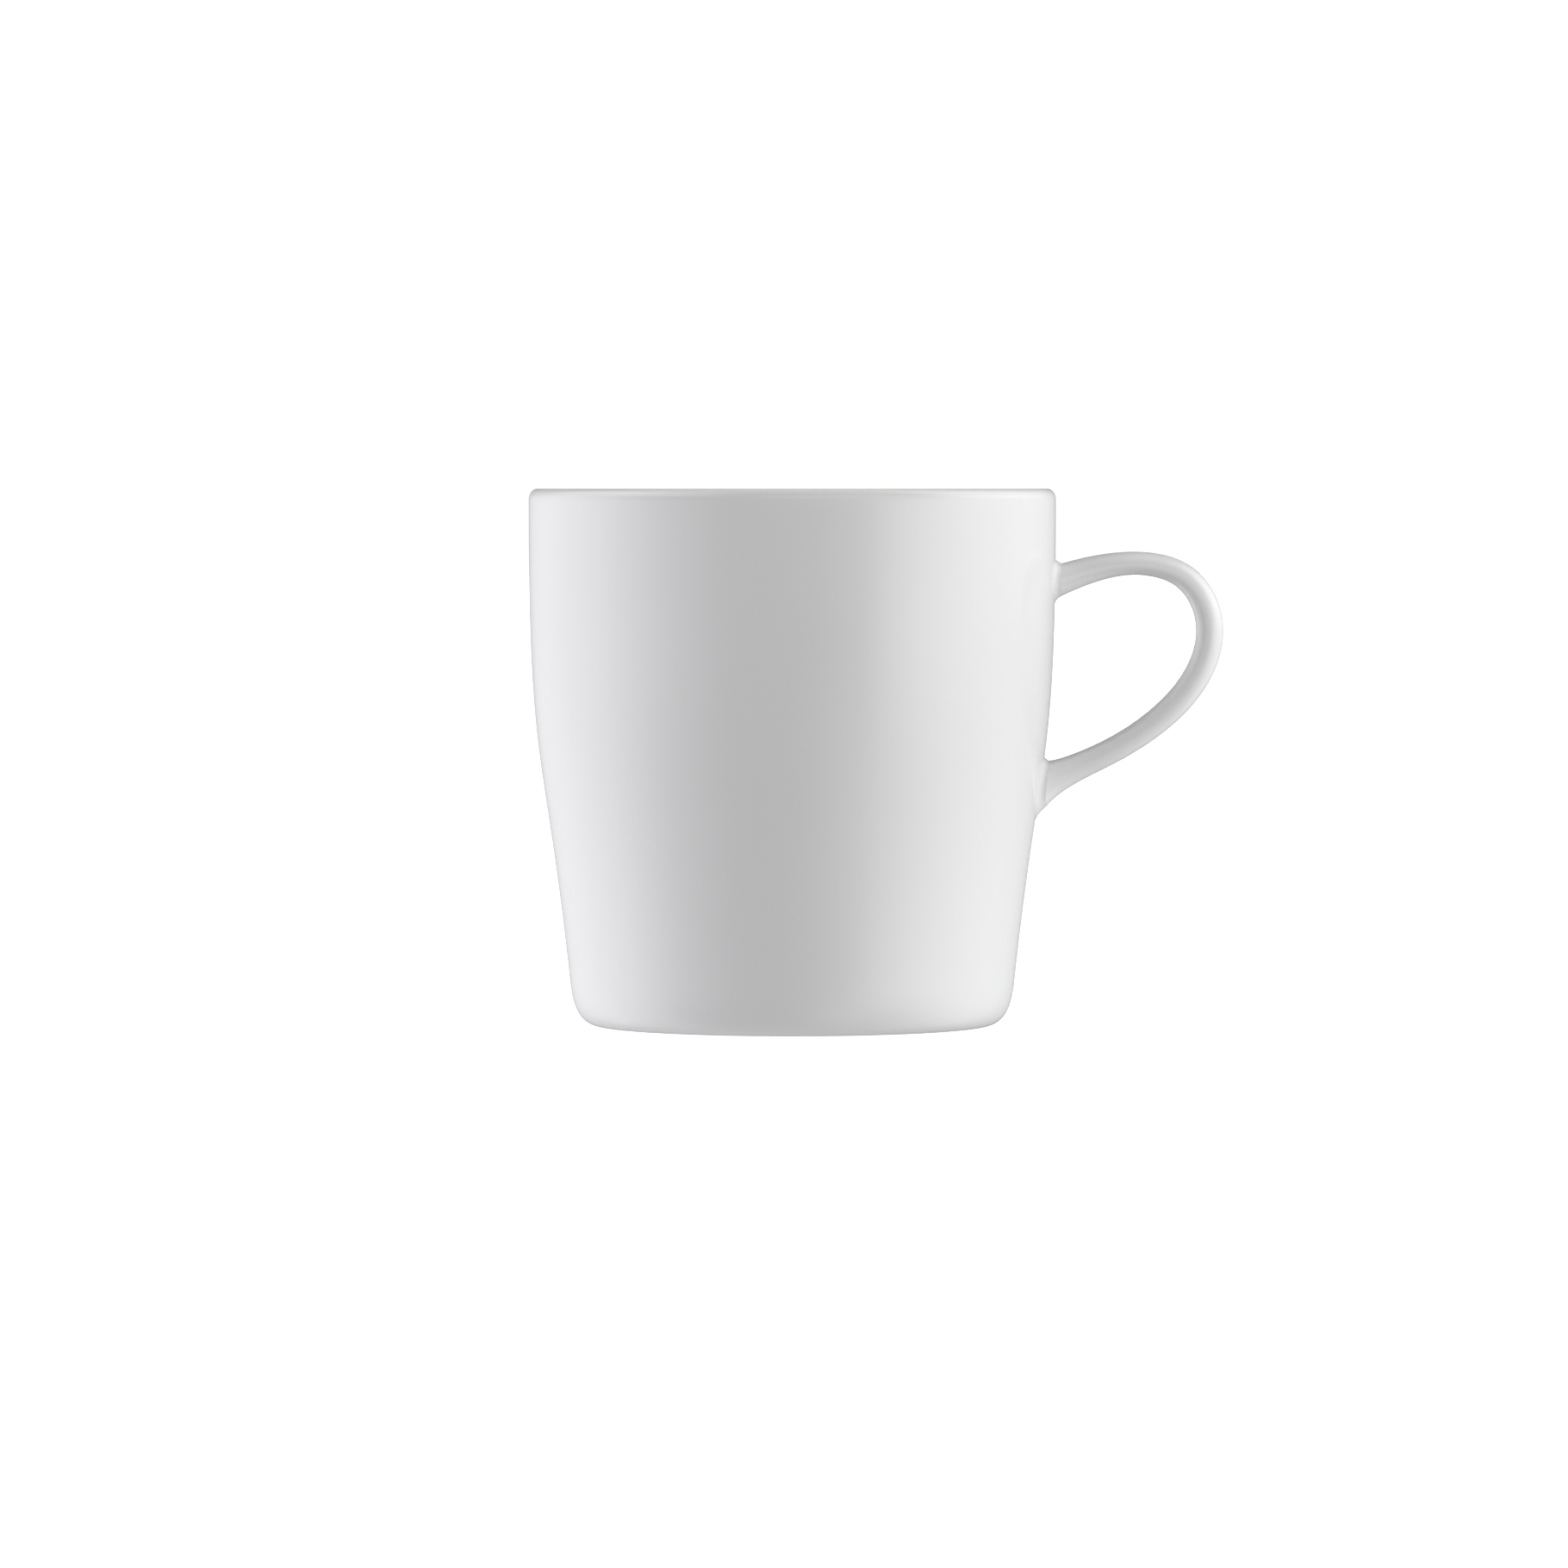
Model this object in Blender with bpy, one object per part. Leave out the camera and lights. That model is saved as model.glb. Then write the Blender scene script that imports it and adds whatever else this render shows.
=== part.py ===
"""A porcelain mug: a turned cup body, a cast ear-shaped handle, and the two slip joints that bond them.

Metres, +Z up, the foot ring standing on Z = 0. The handle reaches towards +X. Every shape is worked
out about the cup's own axis, and the parent empty then centres the whole mug on the origin.
"""

import math

import bmesh
import bpy
import numpy as np
from mathutils import Vector
from mathutils.geometry import interpolate_bezier

MM = 0.001

# Driving dimensions
HEIGHT = 87.6 * MM
RIM_RADIUS = 43.0 * MM
HANDLE_REACH = 70.4 * MM  # cup axis to the outermost point of the handle
CUP_AXIS_X = (RIM_RADIUS - HANDLE_REACH) / 2
FITTING_GAP = 0.3 * MM  # left between pieces that the slip and the glaze bond

# Cup body
RIM_THICKNESS = 2.8 * MM
RIM_CROWN = 1.8 * MM  # height of the rounded lip
HEEL_RADIUS = 36.25 * MM
HEEL_HEIGHT = 7.0 * MM
HEEL_LEAN = 0.107  # how far the wall leans out just above the heel, per unit of height
HEEL_DROP = 5.0 * MM
HEEL_SWEEP = 2.9 * MM
WALL_DROP = 46.0 * MM  # how far down the upright top of the wall pulls its outline
WALL_RISE = 40.5 * MM  # how far up the lean at the heel pulls it
FOOT_OUTER_RADIUS = 31.2 * MM
FOOT_WIDTH = 2.6 * MM
FOOT_DEPTH = 1.8 * MM
FOOT_FILLET = 2.2 * MM
FLOOR_THICKNESS = 4.8 * MM
LOWER_WALL_THICKNESS = 3.5 * MM
INNER_CORNER = 8.5 * MM
INNER_LEAN = 0.09

# Handle: control points of its two edges in the upright plane through the cup's axis, as distance
# from that axis and height. Each runs from the upper root, over the top and down to the lower root,
# where it starts and ends on the wall.
OUTER_EDGE = [(50.5, 77.3), (60.3, 78.0), (68.3, 73.6), (71.8, 63.5), (66.5, 51.7), (53.4, 42.4), (44.0, 38.9)]
INNER_EDGE = [(51.6, 73.7), (59.4, 73.9), (64.6, 70.8), (66.9, 63.6), (62.9, 54.7), (52.0, 46.3), (43.5, 43.4)]
UPPER_ROOT = (75.5 * MM, 70.2 * MM)  # heights of the outer and the inner edge at the wall
LOWER_ROOT = (35.5 * MM, 43.3 * MM)
GRIP_HALF_DEPTH = 4.3 * MM
ROOT_HALF_DEPTH = 5.0 * MM
ROOT_FLARE = 8.0 * MM  # length over which the handle widens into each root
SECTION_POWER = 2.3  # 2 is an ellipse, and higher is squarer
WIDEST_SHARE = 0.33  # how far from the inner edge to the outer the handle is deepest, front to back

# Slip joints
SLIP_THICKNESS = 0.7 * MM
SLIP_SKIRT = 0.9 * MM  # how far the slip spreads past the handle's end on the wall

# Fineness
TURNS = 64
WALL_STEPS = 12
CORNER_STEPS = 6
LIP_STEPS = 6
SPLINE_DEGREE = 3
HANDLE_RINGS = 42
RING_POINTS = 20
CAP_SHARES = (0.66, 0.33)
SKIRT_STEPS = 4
WALL_SAMPLES = 200
MERGE_DISTANCE = 1e-6
SMOOTH_ANGLE = math.radians(35)

GLAZE_COLOUR = (0.86, 0.86, 0.87, 1.0)
SLIP_COLOUR = (0.84, 0.84, 0.85, 1.0)
GLAZE_ROUGHNESS = 0.12


def clear_scene():
    for item in list(bpy.data.objects):
        bpy.data.objects.remove(item, do_unlink=True)


def bezier(start, start_handle, end_handle, end, steps):
    """Points along a Bezier curve in a plane, both ends included, as (radius, height)."""
    corners = [Vector((x, 0.0, z)) for x, z in (start, start_handle, end_handle, end)]
    return [(p.x, p.z) for p in interpolate_bezier(*corners, steps + 1)]


def b_spline(points, count):
    """Even steps along the clamped, uniform cubic B-spline of these control points."""
    points = np.array(points, float)
    spans = len(points) - SPLINE_DEGREE
    knots = np.clip(np.arange(len(points) + SPLINE_DEGREE + 1) - SPLINE_DEGREE, 0, spans)
    curve = []
    for u in np.linspace(0.0, spans, count):
        span = min(int(u), spans - 1)
        near = points[span : span + SPLINE_DEGREE + 1].copy()
        for level in range(1, SPLINE_DEGREE + 1):
            for j in range(SPLINE_DEGREE, level - 1, -1):
                low = knots[span + j]
                share = (u - low) / (knots[span + SPLINE_DEGREE + 1 + j - level] - low)
                near[j] = (1 - share) * near[j - 1] + share * near[j]
        curve.append(near[SPLINE_DEGREE])
    return np.array(curve)


def outer_wall(steps):
    """The wall's outline from under the lip down to the heel."""
    top = HEIGHT - RIM_CROWN
    return bezier(
        (RIM_RADIUS, top),
        (RIM_RADIUS, top - WALL_DROP),
        (HEEL_RADIUS + HEEL_LEAN * WALL_RISE, HEEL_HEIGHT + WALL_RISE),
        (HEEL_RADIUS, HEEL_HEIGHT),
        steps,
    )


def heel():
    return bezier(
        (HEEL_RADIUS, HEEL_HEIGHT),
        (HEEL_RADIUS - HEEL_LEAN * HEEL_DROP, HEEL_HEIGHT - HEEL_DROP),
        (FOOT_OUTER_RADIUS + HEEL_SWEEP, 0.0),
        (FOOT_OUTER_RADIUS, 0.0),
        CORNER_STEPS,
    )


def foot():
    """The standing band and the shallow recess inside it, out to the axis."""
    inner = FOOT_OUTER_RADIUS - FOOT_WIDTH
    ceiling = inner - FOOT_FILLET
    fillet = bezier(
        (inner, 0.0), (inner, FOOT_DEPTH), (inner, FOOT_DEPTH), (ceiling, FOOT_DEPTH), CORNER_STEPS
    )
    return [*fillet, (ceiling / 2, FOOT_DEPTH), (0.0, FOOT_DEPTH)]


def lip():
    """Half an ellipse over the top of the wall, from the inner side to the outer."""
    centre = RIM_RADIUS - RIM_THICKNESS / 2
    angles = [math.pi * (1 - i / LIP_STEPS) for i in range(LIP_STEPS + 1)]
    return [
        (centre + RIM_THICKNESS / 2 * math.cos(a), HEIGHT - RIM_CROWN + RIM_CROWN * math.sin(a))
        for a in angles
    ]


def inside():
    """The inner outline from the middle of the floor up to the lip."""
    floor = FOOT_DEPTH + FLOOR_THICKNESS
    radius = HEEL_RADIUS - LOWER_WALL_THICKNESS
    knee = floor + INNER_CORNER
    top = HEIGHT - RIM_CROWN
    corner = bezier(
        (radius - INNER_CORNER, floor),
        (radius - INNER_CORNER / 2, floor),
        (radius, knee - INNER_CORNER / 2),
        (radius + INNER_LEAN * INNER_CORNER / 2, knee),
        CORNER_STEPS,
    )
    wall = bezier(
        corner[-1],
        (corner[-1][0] + INNER_LEAN * WALL_RISE / 2, knee + WALL_RISE / 2),
        (RIM_RADIUS - RIM_THICKNESS, top - WALL_DROP),
        (RIM_RADIUS - RIM_THICKNESS, top),
        WALL_STEPS,
    )
    return [(0.0, floor), ((radius - INNER_CORNER) / 2, floor), *corner, *wall[1:]]


def wall_radius(height):
    """The cup's outer radius at a height between the heel and the lip."""
    outline = np.array(outer_wall(WALL_SAMPLES))[::-1]
    return np.interp(height, outline[:, 1], outline[:, 0])


def saddle(depth, radius):
    """How far a round wall falls back at this distance to the side of its middle."""
    return np.sqrt(radius**2 - depth**2) - radius


def section(outer, inner, half_depth, wrap):
    """One ring round the handle through its two edges. wrap is 1 where the ring fits the round wall."""
    outer, inner = np.array(outer), np.array(inner)
    angles = np.arange(RING_POINTS) * 2 * math.pi / RING_POINTS
    across, along = (
        np.sign(wave) * np.abs(wave) ** (2 / SECTION_POWER) for wave in (np.sin(angles), np.cos(angles))
    )
    depth = half_depth * across
    share = WIDEST_SHARE + np.where(along > 0, 1 - WIDEST_SHARE, WIDEST_SHARE) * along
    edge = inner + np.outer(share, outer - inner)
    fall = wrap * saddle(depth, wall_radius(edge[:, 1]))
    return np.column_stack([edge[:, 0] + fall, depth, edge[:, 1]])


def on_wall(root, offset):
    """The root's outer and inner edge points, this far off the wall."""
    return [(wall_radius(height) + offset, height) for height in root]


def cap(outer, inner, half_depth):
    """The rings that close an end against the wall, from the rim of the end to its middle."""
    middle = (np.array(outer) + np.array(inner)) / 2
    rings = [
        section(middle + share * (outer - middle), middle + share * (inner - middle), share * half_depth, 1.0)
        for share in CAP_SHARES
    ]
    return [*rings, np.array([[middle[0], 0.0, middle[1]]])]


def handle_rings():
    start, end = (on_wall(root, 2 * FITTING_GAP + SLIP_THICKNESS) for root in (UPPER_ROOT, LOWER_ROOT))
    outer = b_spline([start[0], *(np.array(OUTER_EDGE) * MM), end[0]], HANDLE_RINGS)
    inner = b_spline([start[1], *(np.array(INNER_EDGE) * MM), end[1]], HANDLE_RINGS)
    middle = (outer + inner) / 2
    run = np.append(0.0, np.cumsum(np.linalg.norm(np.diff(middle, axis=0), axis=1)))
    to_root = np.minimum(run, run[-1] - run)
    flare = np.clip(1 - to_root / ROOT_FLARE, 0, 1) ** 2
    depth = GRIP_HALF_DEPTH + (ROOT_HALF_DEPTH - GRIP_HALF_DEPTH) * flare
    rings = [section(*ring) for ring in zip(outer, inner, depth, flare)]
    first = cap(outer[0], inner[0], ROOT_HALF_DEPTH)
    last = cap(outer[-1], inner[-1], ROOT_HALF_DEPTH)
    return [*first[::-1], *rings, *last]


def slip_rings(root):
    """A thin pad between wall and handle with a skirt that spreads in a hollow curve onto the wall."""
    upward = 1 if root[0] > root[1] else -1
    rings = []
    for i in range(SKIRT_STEPS + 1):
        share = i / SKIRT_STEPS
        spread = SLIP_SKIRT * (1 - share) ** 2
        edges = on_wall((root[0] + upward * spread, root[1] - upward * spread), FITTING_GAP + share * SLIP_THICKNESS)
        rings.append((*np.array(edges), ROOT_HALF_DEPTH + spread))
    closing = [cap(*rings[0])[::-1], cap(*rings[-1])]
    return [*closing[0], *(section(*ring, 1.0) for ring in rings), *closing[1]]


def material(name, colour):
    made = bpy.data.materials.new(name)
    made.use_nodes = True
    shader = made.node_tree.nodes["Principled BSDF"]
    shader.inputs["Base Color"].default_value = colour
    shader.inputs["Roughness"].default_value = GLAZE_ROUGHNESS
    shader.inputs["Metallic"].default_value = 0.0
    made.diffuse_color = colour
    return made


def add_object(name, mesh, colour, parent):
    mesh.materials.append(material(f"{name}_glaze", colour))
    made = bpy.data.objects.new(name, mesh)
    bpy.context.scene.collection.objects.link(made)
    made.parent = parent
    return made


def loft(name, rings, colour, parent):
    """A closed skin over these rings. A ring of one point closes an end."""
    bm = bmesh.new()
    rows = [[bm.verts.new(point) for point in ring] for ring in rings]
    for row, following in zip(rows, rows[1:]):
        for i in range(RING_POINTS):
            ends = [row[i % len(row)], row[(i + 1) % len(row)]]
            ends += [following[(i + 1) % len(following)], following[i % len(following)]]
            bm.faces.new(dict.fromkeys(ends))
    bmesh.ops.recalc_face_normals(bm, faces=bm.faces)
    mesh = bpy.data.meshes.new(name)
    bm.to_mesh(mesh)
    bm.free()
    mesh.shade_smooth()
    mesh.set_sharp_from_angle(angle=SMOOTH_ANGLE)
    return add_object(name, mesh, colour, parent)


def cup_body(parent):
    outline = [*inside(), *lip()[1:], *outer_wall(WALL_STEPS)[1:], *heel()[1:], *foot()]
    mesh = bpy.data.meshes.new("cup_body")
    edges = [(i, i + 1) for i in range(len(outline) - 1)]
    mesh.from_pydata([(radius, 0.0, height) for radius, height in outline], edges, [])
    made = add_object("cup_body", mesh, GLAZE_COLOUR, parent)
    turn = made.modifiers.new("Turn on the wheel", "SCREW")
    turn.axis = "Z"
    turn.angle = 2 * math.pi
    turn.steps = turn.render_steps = TURNS
    turn.use_merge_vertices = True
    turn.merge_threshold = MERGE_DISTANCE
    turn.use_smooth_shade = True
    return made


def build_mug():
    clear_scene()
    mug = bpy.data.objects.new("mug", None)
    bpy.context.scene.collection.objects.link(mug)
    mug.location = (CUP_AXIS_X, 0.0, 0.0)
    cup_body(mug)
    loft("handle", handle_rings(), GLAZE_COLOUR, mug)
    loft("upper_slip_joint", slip_rings(UPPER_ROOT), SLIP_COLOUR, mug)
    loft("lower_slip_joint", slip_rings(LOWER_ROOT), SLIP_COLOUR, mug)


build_mug()
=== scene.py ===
"""The looks of a glazed porcelain mug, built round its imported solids.

Each of the four clay pieces is a fine closed mesh that stands for its node: the turned cup body,
the cast handle, and the two slip joints that blend the handle's ends into the wall. Everything is
worked out about the cup's own axis, in metres, +Z up, with the handle towards +X.
"""

import math

import bmesh
import bpy
import numpy as np
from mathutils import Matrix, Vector
from mathutils.geometry import interpolate_bezier


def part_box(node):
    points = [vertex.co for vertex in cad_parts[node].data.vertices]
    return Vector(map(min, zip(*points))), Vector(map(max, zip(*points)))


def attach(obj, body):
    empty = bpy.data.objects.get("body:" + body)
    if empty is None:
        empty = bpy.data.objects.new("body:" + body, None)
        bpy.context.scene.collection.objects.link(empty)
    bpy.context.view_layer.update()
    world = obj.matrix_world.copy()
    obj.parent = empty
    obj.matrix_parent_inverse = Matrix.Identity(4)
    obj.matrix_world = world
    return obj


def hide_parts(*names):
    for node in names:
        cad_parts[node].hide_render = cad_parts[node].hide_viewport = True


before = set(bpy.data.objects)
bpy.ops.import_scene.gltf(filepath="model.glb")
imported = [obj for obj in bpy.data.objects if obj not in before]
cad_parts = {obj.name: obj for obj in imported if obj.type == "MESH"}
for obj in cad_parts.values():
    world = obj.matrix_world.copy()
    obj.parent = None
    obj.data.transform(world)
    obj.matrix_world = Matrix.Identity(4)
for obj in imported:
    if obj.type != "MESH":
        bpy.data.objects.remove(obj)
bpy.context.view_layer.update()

MM = 0.001
TINY = 1e-9  # a ring with a smaller radius than this is one point

# Taken from the frame
cup_low, cup_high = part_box("cup_body")
AXIS_X = (cup_low.x + cup_high.x) / 2
RIM_RADIUS = (cup_high.x - cup_low.x) / 2
HEIGHT = cup_high.z

# Cup body, as the solid has it
RIM_THICKNESS = 2.8 * MM
RIM_CROWN = 1.8 * MM  # height of the rounded lip
HEEL_RADIUS = 36.25 * MM
HEEL_HEIGHT = 7.0 * MM
HEEL_LEAN = 0.107
HEEL_DROP = 5.0 * MM
HEEL_SWEEP = 2.9 * MM
WALL_DROP = 46.0 * MM
WALL_RISE = 40.5 * MM
FOOT_OUTER_RADIUS = 31.2 * MM
FOOT_WIDTH = 2.6 * MM
FOOT_DEPTH = 1.8 * MM
FOOT_FILLET = 2.2 * MM
FOOT_EDGE = 0.4 * MM  # rounding of the standing band's inner edge
FLOOR_THICKNESS = 4.8 * MM
LOWER_WALL_THICKNESS = 3.5 * MM
INNER_CORNER = 8.5 * MM
INNER_LEAN = 0.09

# Handle, as the solid has it: control points of its two edges, in millimetres, as distance from
# the cup's axis and height. They come from a least-squares fit to the edges traced in the photo,
# made by a scratch program and rounded to 0.1 mm.
OUTER_EDGE = [
    (50.5, 77.3),
    (60.3, 78.0),
    (68.3, 73.6),
    (71.8, 63.5),
    (66.5, 51.7),
    (53.4, 42.4),
    (44.0, 38.9),
]
INNER_EDGE = [
    (51.6, 73.7),
    (59.4, 73.9),
    (64.6, 70.8),
    (66.9, 63.6),
    (62.9, 54.7),
    (52.0, 46.3),
    (43.5, 43.4),
]
UPPER_ROOT = (75.5 * MM, 70.2 * MM)  # heights of the outer and the inner edge at the wall
LOWER_ROOT = (35.5 * MM, 43.3 * MM)
ROOT_OFFSET = 1.3 * MM  # how far off the wall the solid's ends lie
GRIP_HALF_DEPTH = 4.3 * MM
ROOT_HALF_DEPTH = 5.0 * MM
ROOT_FLARE = 8.0 * MM
SECTION_POWER = 2.3
WIDEST_SHARE = 0.33  # how far from the inner edge to the outer the handle is deepest
END_REACH = 2.0 * MM  # how far the surface runs on past the solid's ends before it is cut

# Slip joints at the handle's outer edge, its inner edge and its two sides: how far off the wall
# the seam with the handle lies and how far the slip spreads from that seam along the wall, both in
# millimetres, and the power of its slope there, from 1 for a straight slope up. The sides are a
# full hollow fillet instead.
UPPER_SLIP = {"outer": (1.00, 0.66, 1.15), "inner": (1.00, 1.25, 1.9), "side": (1.10, 1.00, 2.0)}
LOWER_SLIP = {"outer": (1.50, 2.45, 1.6), "inner": (0.80, 0.62, 1.35), "side": (1.10, 1.10, 2.0)}
FILLET_TURN = math.radians(80)  # the handle widens at the wall, so its sides stand this steep
HIDDEN_DEPTH = 0.3 * MM  # how far a closed end reaches into its neighbour

# Fineness
TURNS = 192
WALL_STEPS = 72
HEEL_STEPS = 24
LIP_STEPS = 24
CORNER_STEPS = 16
FOOT_STEPS = 8
FLOOR_SHARES = (0.0, 0.15, 0.4, 0.65, 0.85)  # where rings lie across the floor and the recess
BAND_SHARES = (0.3, 0.6)  # where rings lie across the standing band
SPLINE_DEGREE = 3
LOFT_RINGS = 420
LOFT_PARTS = 6  # each seam is looked for in the sixth of the loft at its own end
HANDLE_RINGS = 240
RING_POINTS = 80
SKIRT_STEPS = 24
HANDLE_END_SHARES = (0.9, 0.45)  # sizes of the rings that close a hidden end, before its point
SLIP_FRONT_SHARES = (0.85, 0.4)
SLIP_BACK_SHARES = (0.5,)
WALL_SAMPLES = 600
SHARP_ANGLE = math.radians(40)

# Glaze. The noise and the specks are scaled in cells per metre.
BODY_TONES = ((0.818, 0.818, 0.82), (0.838, 0.838, 0.84))
# The handle's tones, a touch lighter than the body's: painted light that brightens the handle.
HANDLE_LIT_TONES = ((0.842, 0.842, 0.844), (0.862, 0.862, 0.864))
SLIP_TONES = ((0.812, 0.812, 0.815), (0.832, 0.832, 0.835))
GLAZE_ROUGHNESS = (0.045, 0.075)
GLAZE_IOR = 1.52
CLOUD_SCALE = 30.0
SMEAR_SCALE = 70.0
WAVE_SCALE = 170.0
WAVE_HEIGHT = 0.003 * MM
SPECK_SCALE = 150.0
SPECK_RARITY = 0.982  # the share of cells without a speck
SPECK_EDGE = 0.03  # radii of a speck and of its dark core, in cells
SPECK_CORE = 0.015
SPECK_STRENGTH = 0.35
SPECK_TONE = (0.42, 0.40, 0.38, 1.0)
# The lip's darker tone: painted shade that dims the lip's highlight, with clay under thin glaze.
LIP_SHADE_TONE = (0.79, 0.785, 0.775, 1.0)
LIP_SHADE_START = 2.0 * MM  # where, under the lip's top, the painted shade and thin glaze begin
LIP_SHADE_FULL = 0.8 * MM

# Bare clay of the standing band
BARE_TOP = 0.05 * MM  # faces with their middle below this height are bare
BARE_TONES = ((0.72, 0.70, 0.67, 1.0), (0.82, 0.81, 0.79, 1.0))
BARE_ROUGHNESS = (0.55, 0.8)
BARE_IOR = 1.5
SAND_SCALE = 2200.0
SAND_HEIGHT = 0.02 * MM
WEAR_SCALE = 120.0

# The surround's brightness, seen from the mug, at heights above level in degrees. Each height has
# a list of bearings, in degrees to the right of the camera, and levels there. Together they are a
# large soft box on the left and another on the right, which reaches further round to the front,
# a weaker light above the camera, darkness round the camera, and dim light elsewhere. The levels
# come from least-squares fits to the photo's shading, made by scratch programs and rounded to
# 0.05. About a quarter of them were changed or added afterwards.
LIGHT_ROUND = {
    75: [(-180, 0.3), (180, 0.3)],
    42: [
        (-180, 0.0), (-150, 0.0), (-95, 3.1), (-60, 2.1), (-30, 0.1),
        (60, 0.2), (90, 2.65), (120, 1.8), (150, 0.2), (180, 0.0),
    ],
    16: [
        (-180, 0.2), (-150, 0.4), (-120, 1.25), (-90, 1.3), (-60, 0.15), (-30, 0.3),
        (0, 1.4), (30, 1.0), (60, 1.3), (90, 2.95), (120, 1.9), (150, 0.75), (180, 0.2),
    ],
    -4: [
        (-180, 0.3), (-168, 0.65), (-150, 0.9), (-120, 1.35), (-95, 2.0), (-75, 1.7),
        (-50, 0.75), (-30, 0.0), (10, 0.0), (30, 0.35), (45, 1.8), (60, 2.35), (75, 2.1),
        (105, 0.9), (130, 0.5), (168, 0.5), (180, 0.3),
    ],
    -35: [
        (-180, 0.3), (-150, 0.9), (-120, 2.1), (-90, 1.9), (-60, 0.5), (-30, 0.15),
        (0, 0.1), (30, 1.0), (60, 0.8), (95, 1.35), (120, 1.2), (150, 0.5), (180, 0.3),
    ],
    -75: [(-180, 0.3), (-60, 0.3), (-25, 0.1), (25, 0.1), (60, 0.3), (180, 0.3)],
    -90: [(-180, 0.2), (180, 0.2)],
}
LIGHT_PEAK = 4.0
WHITE = (1.0, 1.0, 1.0)
COOL_LEFT = (1.0, 1.0, 1.022)  # the left light's faint blue
BACKDROP_LEVEL = 1.05  # just past white, so that the backdrop shows as plain white

# Table top
TABLE_SIZE = 16.0
TABLE_TONE = 0.8
TABLE_ROUGHNESS = 0.9
TABLE_GLOW = 0.7

# Camera: how far in front of the cup's axis it stands and how much it looks down
CAMERA_DISTANCE = 1.5
CAMERA_ASIDE = -1.35 * MM
CAMERA_PITCH = math.radians(1.84)
CAMERA_LENS = 211.0
CAMERA_REACH = 100.0


def bezier(start, start_handle, end_handle, end, steps):
    """Points along a Bezier curve in a plane, both ends included, as (radius, height)."""
    corners = [Vector((x, 0.0, z)) for x, z in (start, start_handle, end_handle, end)]
    return [(p.x, p.z) for p in interpolate_bezier(*corners, steps + 1)]


def b_spline(points, count):
    """Even steps along the clamped, uniform cubic B-spline of these control points."""
    points = np.array(points, float)
    spans = len(points) - SPLINE_DEGREE
    knots = np.clip(np.arange(len(points) + SPLINE_DEGREE + 1) - SPLINE_DEGREE, 0, spans)
    curve = []
    for u in np.linspace(0.0, spans, count):
        span = min(int(u), spans - 1)
        near = points[span : span + SPLINE_DEGREE + 1].copy()
        for level in range(1, SPLINE_DEGREE + 1):
            for j in range(SPLINE_DEGREE, level - 1, -1):
                low = knots[span + j]
                share = (u - low) / (knots[span + SPLINE_DEGREE + 1 + j - level] - low)
                near[j] = (1 - share) * near[j - 1] + share * near[j]
        curve.append(near[SPLINE_DEGREE])
    return np.array(curve)


def even_angles(count):
    """Angles at even steps round a full turn, the end left out."""
    return np.arange(count) * 2 * math.pi / count


# ---------------------------------------------------------------- the cup's outline


def outer_wall(steps):
    """The wall's outline from under the lip down to the heel."""
    top = HEIGHT - RIM_CROWN
    return bezier(
        (RIM_RADIUS, top),
        (RIM_RADIUS, top - WALL_DROP),
        (HEEL_RADIUS + HEEL_LEAN * WALL_RISE, HEEL_HEIGHT + WALL_RISE),
        (HEEL_RADIUS, HEEL_HEIGHT),
        steps,
    )


def heel():
    """The rounded heel from the end of the wall to the standing band."""
    return bezier(
        (HEEL_RADIUS, HEEL_HEIGHT),
        (HEEL_RADIUS - HEEL_LEAN * HEEL_DROP, HEEL_HEIGHT - HEEL_DROP),
        (FOOT_OUTER_RADIUS + HEEL_SWEEP, 0.0),
        (FOOT_OUTER_RADIUS, 0.0),
        HEEL_STEPS,
    )


def foot():
    """The standing band, its rounded inner edge and the shallow recess, in to the axis."""
    inner = FOOT_OUTER_RADIUS - FOOT_WIDTH
    ceiling = inner - FOOT_FILLET
    edge = bezier(
        (inner + FOOT_EDGE, 0.0),
        (inner, 0.0),
        (inner, 0.0),
        (inner, FOOT_EDGE),
        FOOT_STEPS,
    )
    fillet = bezier(
        (inner, FOOT_EDGE),
        (inner, FOOT_DEPTH),
        (inner, FOOT_DEPTH),
        (ceiling, FOOT_DEPTH),
        FOOT_STEPS,
    )
    band = [(FOOT_OUTER_RADIUS - FOOT_WIDTH * share, 0.0) for share in BAND_SHARES]
    across = [(ceiling * share, FOOT_DEPTH) for share in reversed(FLOOR_SHARES)]
    return [*band, *edge, *fillet[1:], *across]


def lip():
    """Half an ellipse over the top of the wall, from the inner side to the outer."""
    half = RIM_THICKNESS / 2
    centre = RIM_RADIUS - half
    angles = [math.pi * (1 - i / LIP_STEPS) for i in range(LIP_STEPS + 1)]
    return [
        (centre + half * math.cos(a), HEIGHT - RIM_CROWN + RIM_CROWN * math.sin(a)) for a in angles
    ]


def inside():
    """The inner outline from the middle of the floor up to the lip."""
    bottom = FOOT_DEPTH + FLOOR_THICKNESS
    radius = HEEL_RADIUS - LOWER_WALL_THICKNESS
    knee = bottom + INNER_CORNER
    top = HEIGHT - RIM_CROWN
    corner = bezier(
        (radius - INNER_CORNER, bottom),
        (radius - INNER_CORNER / 2, bottom),
        (radius, knee - INNER_CORNER / 2),
        (radius + INNER_LEAN * INNER_CORNER / 2, knee),
        CORNER_STEPS,
    )
    wall = bezier(
        corner[-1],
        (corner[-1][0] + INNER_LEAN * WALL_RISE / 2, knee + WALL_RISE / 2),
        (RIM_RADIUS - RIM_THICKNESS, top - WALL_DROP),
        (RIM_RADIUS - RIM_THICKNESS, top),
        WALL_STEPS,
    )
    across = [((radius - INNER_CORNER) * share, bottom) for share in FLOOR_SHARES]
    return [*across, *corner, *wall[1:]]


OUTLINE = np.array(outer_wall(WALL_SAMPLES))[::-1]


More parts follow.
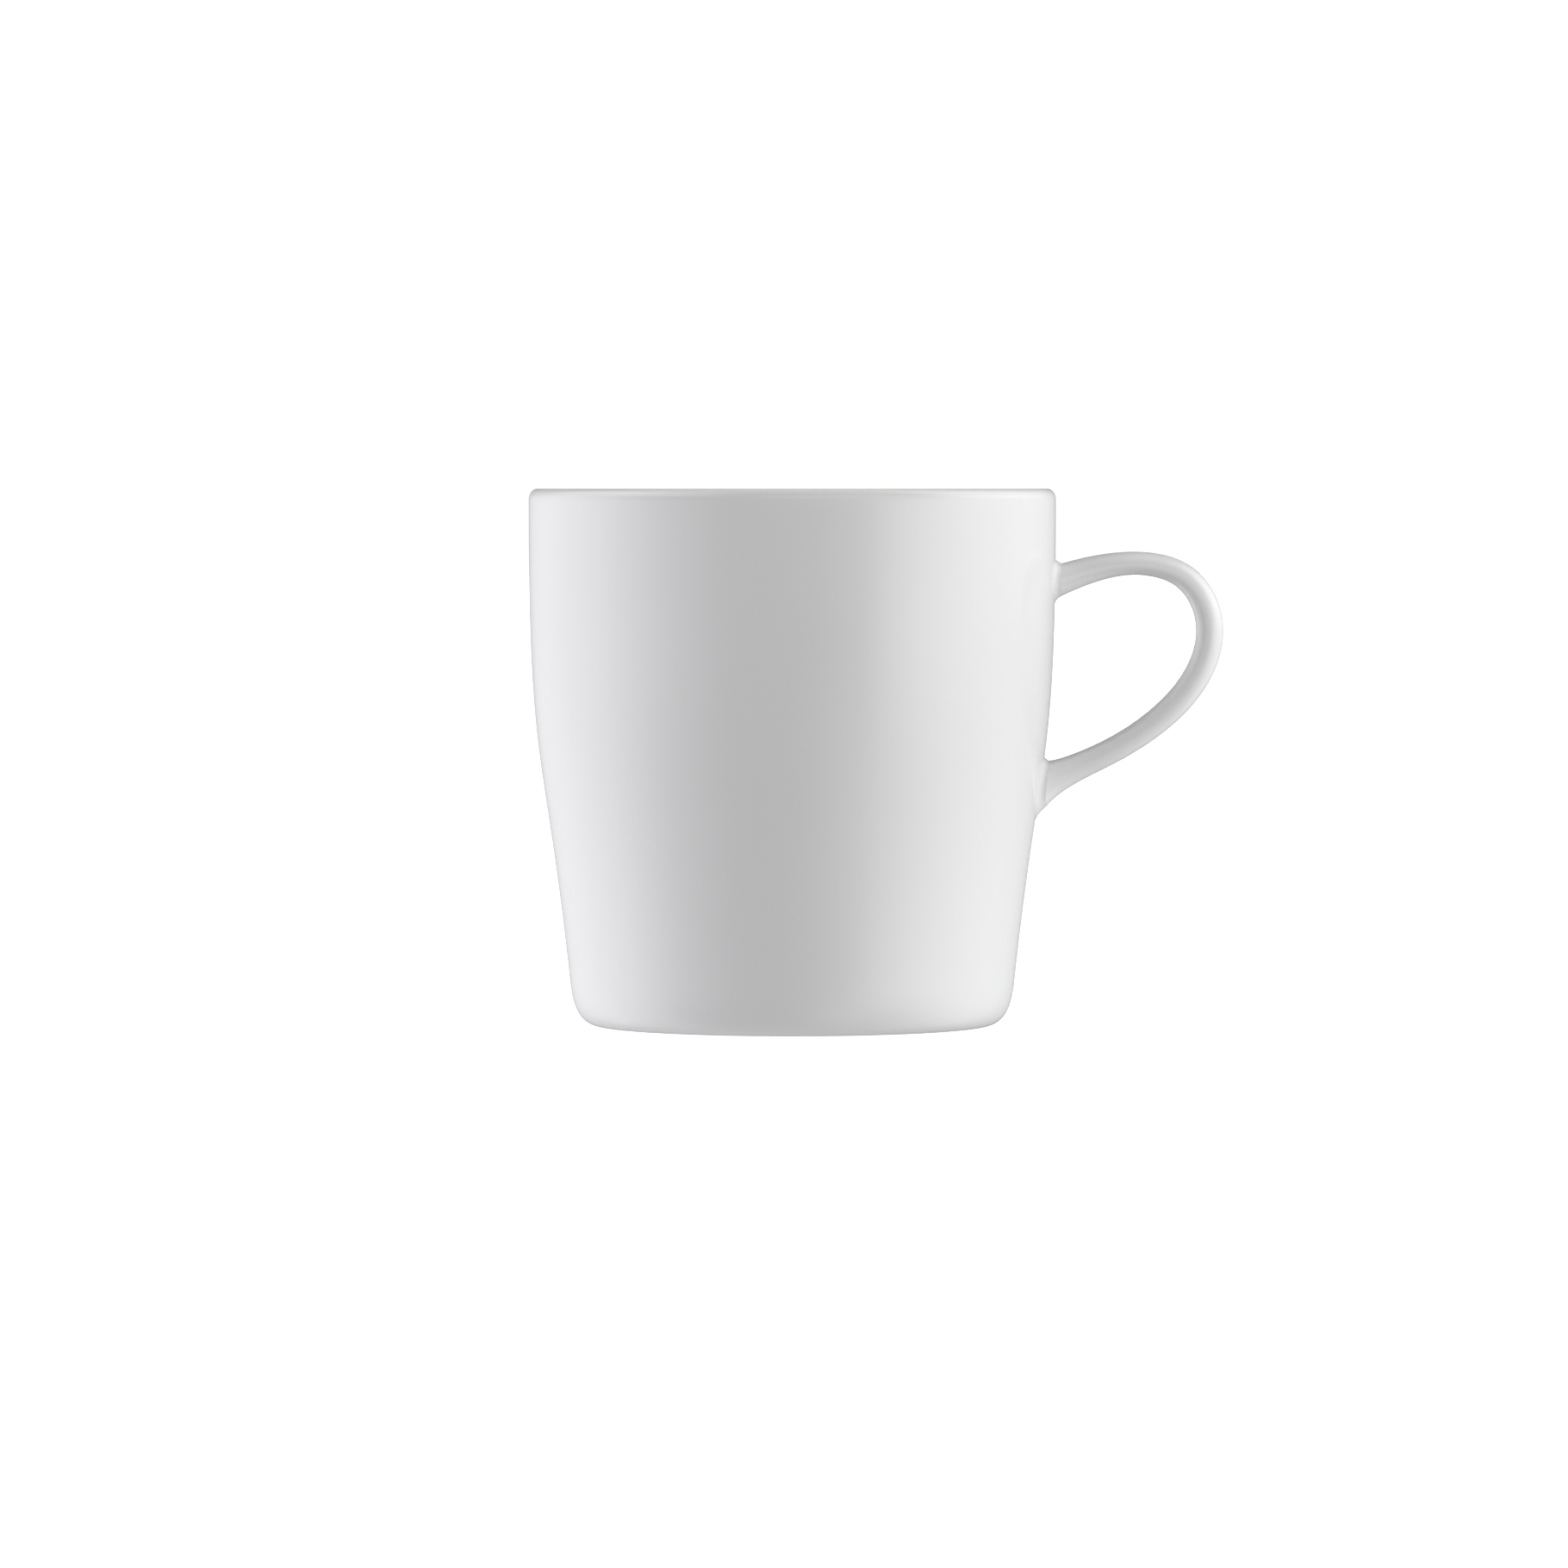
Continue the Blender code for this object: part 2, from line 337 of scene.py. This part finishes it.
def wall_radius(height):
    """The cup's outer radius at a height between the heel and the lip."""
    return np.interp(height, OUTLINE[:, 1], OUTLINE[:, 0])


def off_wall(points):
    """How far these points lie outside the cup's wall."""
    return np.hypot(points[..., 0], points[..., 1]) - wall_radius(points[..., 2])


# ---------------------------------------------------------------- the handle and its joints


def section(outer, inner, half_depth, wrap):
    """One ring round the handle through its edges. wrap is 1 where it fits the round wall."""
    angles = even_angles(RING_POINTS)
    across, along = (
        np.sign(wave) * np.abs(wave) ** (2 / SECTION_POWER)
        for wave in (np.sin(angles), np.cos(angles))
    )
    depth = half_depth * across
    share = WIDEST_SHARE + np.where(along > 0, 1 - WIDEST_SHARE, WIDEST_SHARE) * along
    edge = inner + np.outer(share, outer - inner)
    radius = wall_radius(edge[:, 1])
    fall = wrap * (np.sqrt(radius**2 - depth**2) - radius)
    return np.column_stack([edge[:, 0] + fall, depth, edge[:, 1]])


def handle_loft():
    """The handle's whole side surface as rings, run on past both ends into the wall."""
    start, end = (
        [(wall_radius(z) + ROOT_OFFSET, z) for z in root] for root in (UPPER_ROOT, LOWER_ROOT)
    )
    outer = b_spline([start[0], *(np.array(OUTER_EDGE) * MM), end[0]], LOFT_RINGS)
    inner = b_spline([start[1], *(np.array(INNER_EDGE) * MM), end[1]], LOFT_RINGS)
    middle = (outer + inner) / 2
    run = np.append(0.0, np.cumsum(np.linalg.norm(np.diff(middle, axis=0), axis=1)))
    flare = np.clip(1 - np.minimum(run, run[-1] - run) / ROOT_FLARE, 0, 1) ** 2
    depth = GRIP_HALF_DEPTH + (ROOT_HALF_DEPTH - GRIP_HALF_DEPTH) * flare
    rings = np.array([section(*ring) for ring in zip(outer, inner, depth, flare)])
    first, last = rings[0] - rings[1], rings[-1] - rings[-2]
    first *= END_REACH / np.linalg.norm(first, axis=1, keepdims=True)
    last *= END_REACH / np.linalg.norm(last, axis=1, keepdims=True)
    return np.concatenate([[rings[0] + first], rings, [rings[-1] + last]])


def round_the_ring(slip):
    """Each ring point's seam offset, spread and power, and how far it is a side of the handle."""
    angles = even_angles(RING_POINTS)
    outer = np.maximum(np.cos(angles), 0) ** 2
    inner = np.maximum(-np.cos(angles), 0) ** 2
    side = 1 - outer - inner
    offsets, spreads, powers = (
        outer * slip["outer"][i] + inner * slip["inner"][i] + side * slip["side"][i]
        for i in range(3)
    )
    return offsets * MM, spreads * MM, powers, side


def seam_place(loft, offsets):
    """Where along the loft, counted in rings, each line of it is its own offset off the wall."""
    reach = len(loft) // LOFT_PARTS
    heights = off_wall(loft[:reach])
    counts = np.arange(reach)
    return np.array([np.interp(offset, line, counts) for offset, line in zip(offsets, heights.T)])


def handle_side(loft):
    """The handle's side surface as rings, from one seam to the other."""
    start = seam_place(loft, round_the_ring(UPPER_SLIP)[0])
    end = len(loft) - 1 - seam_place(loft[::-1], round_the_ring(LOWER_SLIP)[0])
    counts = np.arange(len(loft))
    rings = []
    for share in np.linspace(0.0, 1.0, HANDLE_RINGS):
        places = start + share * (end - start)
        ring = [
            [np.interp(place, counts, loft[:, i, axis]) for axis in range(3)]
            for i, place in enumerate(places)
        ]
        rings.append(np.array(ring))
    return rings


def pull_in(ring, share, push):
    """A smaller copy of a ring about its own middle, pushed outwards from the cup's axis."""
    middle = ring.mean(axis=0)
    return middle + share * (ring - middle) + np.array([push, 0.0, 0.0])


def close_end(ring, shares, push):
    """Smaller and smaller copies of a ring, down to one point, that close an end."""
    return [*(pull_in(ring, share, push) for share in shares), pull_in(ring, 0.0, push)[:1]]


def handle_rings(side):
    """The handle's side surface, closed by ends that reach into the slip joints."""
    upper, lower = (
        close_end(ring, HANDLE_END_SHARES, -HIDDEN_DEPTH) for ring in (side[0], side[-1])
    )
    return [*upper[::-1], *side, *lower]


def outward_from(line):
    """At each point of a closed line on the unrolled wall, the direction out of it."""
    tangent = np.roll(line, -1, axis=0) - np.roll(line, 1, axis=0)
    outward = np.column_stack([tangent[:, 1], -tangent[:, 0]])
    outward /= np.linalg.norm(outward, axis=1, keepdims=True)
    if ((line - line.mean(axis=0)) * outward).sum() < 0:
        outward = -outward
    return outward


def slip_rings(seam, slip):
    """A joint from its hidden back in the wall, over its skirt and seam, into the handle."""
    offsets, spreads, powers, side = round_the_ring(slip)
    turned = np.arctan2(seam[:, 1], seam[:, 0])
    around = np.column_stack([wall_radius(seam[:, 2]) * turned, seam[:, 2]])
    outward = outward_from(around)

    def ring(share, offset):
        place = around + outward * (spreads * share)[:, None]
        wall = wall_radius(place[:, 1])
        angle = place[:, 0] / wall
        radius = wall + offset
        return np.column_stack([radius * np.cos(angle), radius * np.sin(angle), place[:, 1]])

    def skirt_ring(rise):
        turn = rise * FILLET_TURN
        hollow_reach = 1 - math.sin(turn) / math.sin(FILLET_TURN)
        hollow_height = (1 - math.cos(turn)) / (1 - math.cos(FILLET_TURN))
        reach = side * hollow_reach + (1 - side) * (1 - rise)
        height = side * hollow_height + (1 - side) * rise**powers
        return ring(reach, offsets * height)

    skirt = [skirt_ring(i / SKIRT_STEPS) for i in range(SKIRT_STEPS + 1)]
    back = ring(1.0, -HIDDEN_DEPTH)
    hidden = close_end(back, SLIP_BACK_SHARES, -HIDDEN_DEPTH)
    front = close_end(seam, SLIP_FRONT_SHARES, HIDDEN_DEPTH)
    return [*hidden[::-1], back, *skirt, *front]


# ---------------------------------------------------------------- meshes


def skin(name, rings):
    """A skin over rings of points that run the same way. A ring of one point closes an end."""
    bm = bmesh.new()
    rows = [[bm.verts.new(point) for point in ring] for ring in rings]
    count = max(len(ring) for ring in rings)
    for row, following in zip(rows, rows[1:]):
        for i in range(count):
            corners = [row[i % len(row)], row[(i + 1) % len(row)]]
            corners += [following[(i + 1) % len(following)], following[i % len(following)]]
            bm.faces.new(dict.fromkeys(corners))
    bmesh.ops.recalc_face_normals(bm, faces=bm.faces)
    mesh = bpy.data.meshes.new(name)
    bm.to_mesh(mesh)
    bm.free()
    mesh.shade_smooth()
    mesh.set_sharp_from_angle(angle=SHARP_ANGLE)
    return mesh


def turned_ring(radius, height):
    """A level ring about the cup's axis, or one point on the axis."""
    if radius < TINY:
        return np.array([[0.0, 0.0, height]])
    angles = even_angles(TURNS)
    return np.column_stack(
        [radius * np.cos(angles), radius * np.sin(angles), np.full(TURNS, height)]
    )


def cup_rings():
    """The cup's whole outline, turned: inside, over the lip, down the wall and under the foot."""
    outline = [*inside(), *lip()[1:], *outer_wall(WALL_STEPS)[1:], *heel()[1:], *foot()]
    return [turned_ring(radius, height) for radius, height in outline]


def piece(name, mesh, node, slot, *materials):
    """Puts a mesh made about the cup's axis in its place, to stand for its node."""
    made = bpy.data.objects.new(name, mesh)
    bpy.context.scene.collection.objects.link(made)
    made.location = (AXIS_X, 0.0, 0.0)
    for material in materials:
        mesh.materials.append(material)
    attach(made, "root")
    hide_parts(node)


# ---------------------------------------------------------------- materials


class Nodes:
    """A node tree, with short ways to add nodes to it and feed them numbers or sockets."""

    def __init__(self, tree):
        self.tree = tree

    def feed(self, socket, value):
        """Gives an input its value, or joins it to the output that has it."""
        if isinstance(value, bpy.types.NodeSocket):
            self.tree.links.new(value, socket)
        else:
            socket.default_value = value

    def add(self, kind, inputs=(), **settings):
        """A new node with these settings, and with its inputs fed."""
        node = self.tree.nodes.new(kind)
        for key, value in settings.items():
            setattr(node, key, value)
        for key, value in dict(inputs).items():
            self.feed(node.inputs[key], value)
        return node

    def work_out(self, operation, *values):
        """The result of one operation on numbers."""
        node = self.add("ShaderNodeMath", dict(enumerate(values)), operation=operation)
        return node.outputs[0]

    def remap(self, value, before=(0.0, 1.0), after=(0.0, 1.0)):
        """A number moved from one range to another, and held inside it."""
        ends = dict(zip(("From Min", "From Max", "To Min", "To Max"), (*before, *after)))
        return self.add("ShaderNodeMapRange", {"Value": value, **ends}).outputs["Result"]

    def mix(self, share, low, high):
        """A colour between two others."""
        inputs = {"Factor": share, "A": low, "B": high}
        return self.add("ShaderNodeMix", inputs, data_type="RGBA").outputs["Result"]

    def noise(self, place, scale, detail):
        """A soft random pattern, from 0 to 1."""
        inputs = {"Vector": place, "Scale": scale, "Detail": detail}
        return self.add("ShaderNodeTexNoise", inputs).outputs["Fac"]

    def bump(self, height, distance):
        """The surface's direction with this relief on it. distance is its greatest height."""
        inputs = {"Height": height, "Strength": 1.0, "Distance": distance}
        return self.add("ShaderNodeBump", inputs).outputs["Normal"]


class Material(Nodes):
    """A new material's node tree, with its shader."""

    def __init__(self, name):
        self.material = bpy.data.materials.new(name)
        self.material.use_nodes = True
        super().__init__(self.material.node_tree)
        self.shader = self.tree.nodes["Principled BSDF"]

    def set(self, **values):
        """Feeds the shader's inputs by name, with _ for a space."""
        for name, value in values.items():
            self.feed(self.shader.inputs[name.replace("_", " ")], value)


def shade_and_thin_glaze_at_lip(n, place, tone):
    """Painted shade that dims the lip's highlight, with the warmer clay under thin glaze there."""
    height = n.add("ShaderNodeSeparateXYZ", {"Vector": place}).outputs["Z"]
    share = n.remap(height, before=(HEIGHT - LIP_SHADE_START, HEIGHT - LIP_SHADE_FULL))
    return n.mix(share, tone, LIP_SHADE_TONE)


def specks(n, place):
    """How strongly each point is darkened by a pinhead speck. A few cells hold one each."""
    cells = n.add("ShaderNodeTexVoronoi", {"Vector": place, "Scale": SPECK_SCALE})
    colour = n.add("ShaderNodeSeparateColor", {"Color": cells.outputs["Color"]})
    rare = n.work_out("GREATER_THAN", colour.outputs["Red"], SPECK_RARITY)
    near = n.remap(cells.outputs["Distance"], before=(SPECK_EDGE, SPECK_CORE))
    return n.work_out("MULTIPLY", n.work_out("MULTIPLY", rare, near), SPECK_STRENGTH)


def glaze(name, low, high):
    """Clear gloss glaze over white porcelain: faint clouds, slight waviness and a few specks."""
    n = Material(name)
    place = n.add("ShaderNodeTexCoord").outputs["Object"]
    tone = n.mix(n.noise(place, CLOUD_SCALE, detail=2.0), (*low, 1.0), (*high, 1.0))
    # Darker towards the lip: painted shade there, with clay under thin glaze.
    colour = n.mix(specks(n, place), shade_and_thin_glaze_at_lip(n, place, tone), SPECK_TONE)
    rough = n.remap(n.noise(place, SMEAR_SCALE, detail=3.0), after=GLAZE_ROUGHNESS)
    wave = n.bump(n.noise(place, WAVE_SCALE, detail=1.0), WAVE_HEIGHT)
    n.set(Base_Color=colour, Roughness=rough, Normal=wave)
    n.set(IOR=GLAZE_IOR, Metallic=0.0)
    return n.material


def bare_foot():
    """Unglazed porcelain, ground smooth: matt, a touch warmer, with a fine sandy tooth."""
    n = Material("bare_foot")
    place = n.add("ShaderNodeTexCoord").outputs["Object"]
    wear = n.noise(place, WEAR_SCALE, detail=4.0)
    sand = n.bump(n.noise(place, SAND_SCALE, detail=3.0), SAND_HEIGHT)
    n.set(Base_Color=n.mix(wear, *BARE_TONES), Roughness=n.remap(wear, after=BARE_ROUGHNESS))
    n.set(Normal=sand, IOR=BARE_IOR, Metallic=0.0)
    return n.material


# ---------------------------------------------------------------- stage


def light_row(n, turn, stops):
    """The surround's colour all the way round at one height, as a share of its peak."""
    node = n.add("ShaderNodeValToRGB", {"Fac": turn})
    elements = node.color_ramp.elements
    while len(elements) < len(stops):
        elements.new(0.5)  # it gets its own place below
    for element, (degrees, level) in zip(elements, stops):
        element.position = (degrees + 180) / 360
        tint = COOL_LEFT if degrees < 0 else WHITE
        element.color = (*(level / LIGHT_PEAK * part for part in tint), 1.0)
    return node.outputs["Color"]


def light_round(n):
    """The surround's colour in every direction, as a share of its peak."""
    way = n.add("ShaderNodeTexCoord").outputs["Generated"]
    axes = n.add("ShaderNodeSeparateXYZ", {0: way}).outputs
    toward = n.work_out("MULTIPLY", axes["Y"], -1.0)
    bearing = n.work_out("ARCTAN2", axes["X"], toward)
    height = n.work_out("ARCSINE", axes["Z"])
    turn = n.remap(bearing, before=(-math.pi, math.pi))
    heights = sorted(LIGHT_ROUND)
    colour = light_row(n, turn, LIGHT_ROUND[heights[0]])
    for low, high in zip(heights, heights[1:]):
        share = n.remap(height, before=(math.radians(low), math.radians(high)))
        colour = n.mix(share, colour, light_row(n, turn, LIGHT_ROUND[high]))
    return colour


def studio_light():
    """Lights the mug by direction alone, and shows the camera a plain white backdrop."""
    world = bpy.data.worlds.new("studio")
    bpy.context.scene.world = world
    world.use_nodes = True
    world.node_tree.nodes.clear()
    n = Nodes(world.node_tree)
    light = n.add("ShaderNodeBackground", {"Color": light_round(n), "Strength": LIGHT_PEAK})
    plain = {"Color": (*WHITE, 1.0), "Strength": BACKDROP_LEVEL}
    backdrop = n.add("ShaderNodeBackground", plain)
    seen = n.add("ShaderNodeLightPath").outputs["Is Camera Ray"]
    shaders = {0: seen, 1: light.outputs[0], 2: backdrop.outputs[0]}
    either = n.add("ShaderNodeMixShader", shaders)
    n.add("ShaderNodeOutputWorld", {"Surface": either.outputs[0]})


def table_top():
    """A pale top that shows as white, and leaves the mug's light to the surround."""
    mesh = bpy.data.meshes.new("floor")
    half = TABLE_SIZE / 2
    corners = [(-half, -half, 0), (half, -half, 0), (half, half, 0), (-half, half, 0)]
    mesh.from_pydata(corners, [], [(0, 1, 2, 3)])
    made = bpy.data.objects.new("floor", mesh)
    bpy.context.scene.collection.objects.link(made)
    n = Material("pale_table")
    n.set(Base_Color=(TABLE_TONE, TABLE_TONE, TABLE_TONE, 1.0), Roughness=TABLE_ROUGHNESS)
    n.set(Emission_Color=(*WHITE, 1.0), Emission_Strength=TABLE_GLOW, Specular_IOR_Level=0.0)
    mesh.materials.append(n.material)
    made.visible_diffuse = False
    made.visible_glossy = False
    made.visible_shadow = False


def camera():
    """A long lens level with the rim, looking down a little from in front."""
    data = bpy.data.cameras.new("camera")
    data.lens = CAMERA_LENS
    data.clip_end = CAMERA_REACH
    made = bpy.data.objects.new("camera", data)
    bpy.context.scene.collection.objects.link(made)
    made.location = (AXIS_X + CAMERA_ASIDE, -CAMERA_DISTANCE, HEIGHT)
    made.rotation_euler = (math.pi / 2 - CAMERA_PITCH, 0.0, 0.0)
    bpy.context.scene.camera = made


def build_mug():
    """The four pieces, each standing for its node."""
    body_glaze = glaze("body_glaze", *BODY_TONES)
    # A lighter copy of the body's glaze, as painted light on the handle.
    handle_glaze = glaze("handle_glaze", *HANDLE_LIT_TONES)
    slip_glaze = glaze("slip_glaze", *SLIP_TONES)

    cup = skin("cup_body", cup_rings())
    piece("cup_body_glazed", cup, "cup_body", "body_glaze", body_glaze, bare_foot())
    for face in cup.polygons:
        if face.center.z < BARE_TOP:
            face.material_index = 1

    side = handle_side(handle_loft())
    handle = skin("handle", handle_rings(side))
    upper = skin("upper_slip", slip_rings(side[0], UPPER_SLIP))
    lower = skin("lower_slip", slip_rings(side[-1], LOWER_SLIP))
    piece("handle_glazed", handle, "handle", "handle_glaze", handle_glaze)
    piece("upper_slip_joint_glazed", upper, "upper_slip_joint", "slip_glaze", slip_glaze)
    piece("lower_slip_joint_glazed", lower, "lower_slip_joint", "slip_glaze", slip_glaze)


camera()
studio_light()
table_top()
bpy.context.scene.view_settings.view_transform = "Standard"
build_mug()
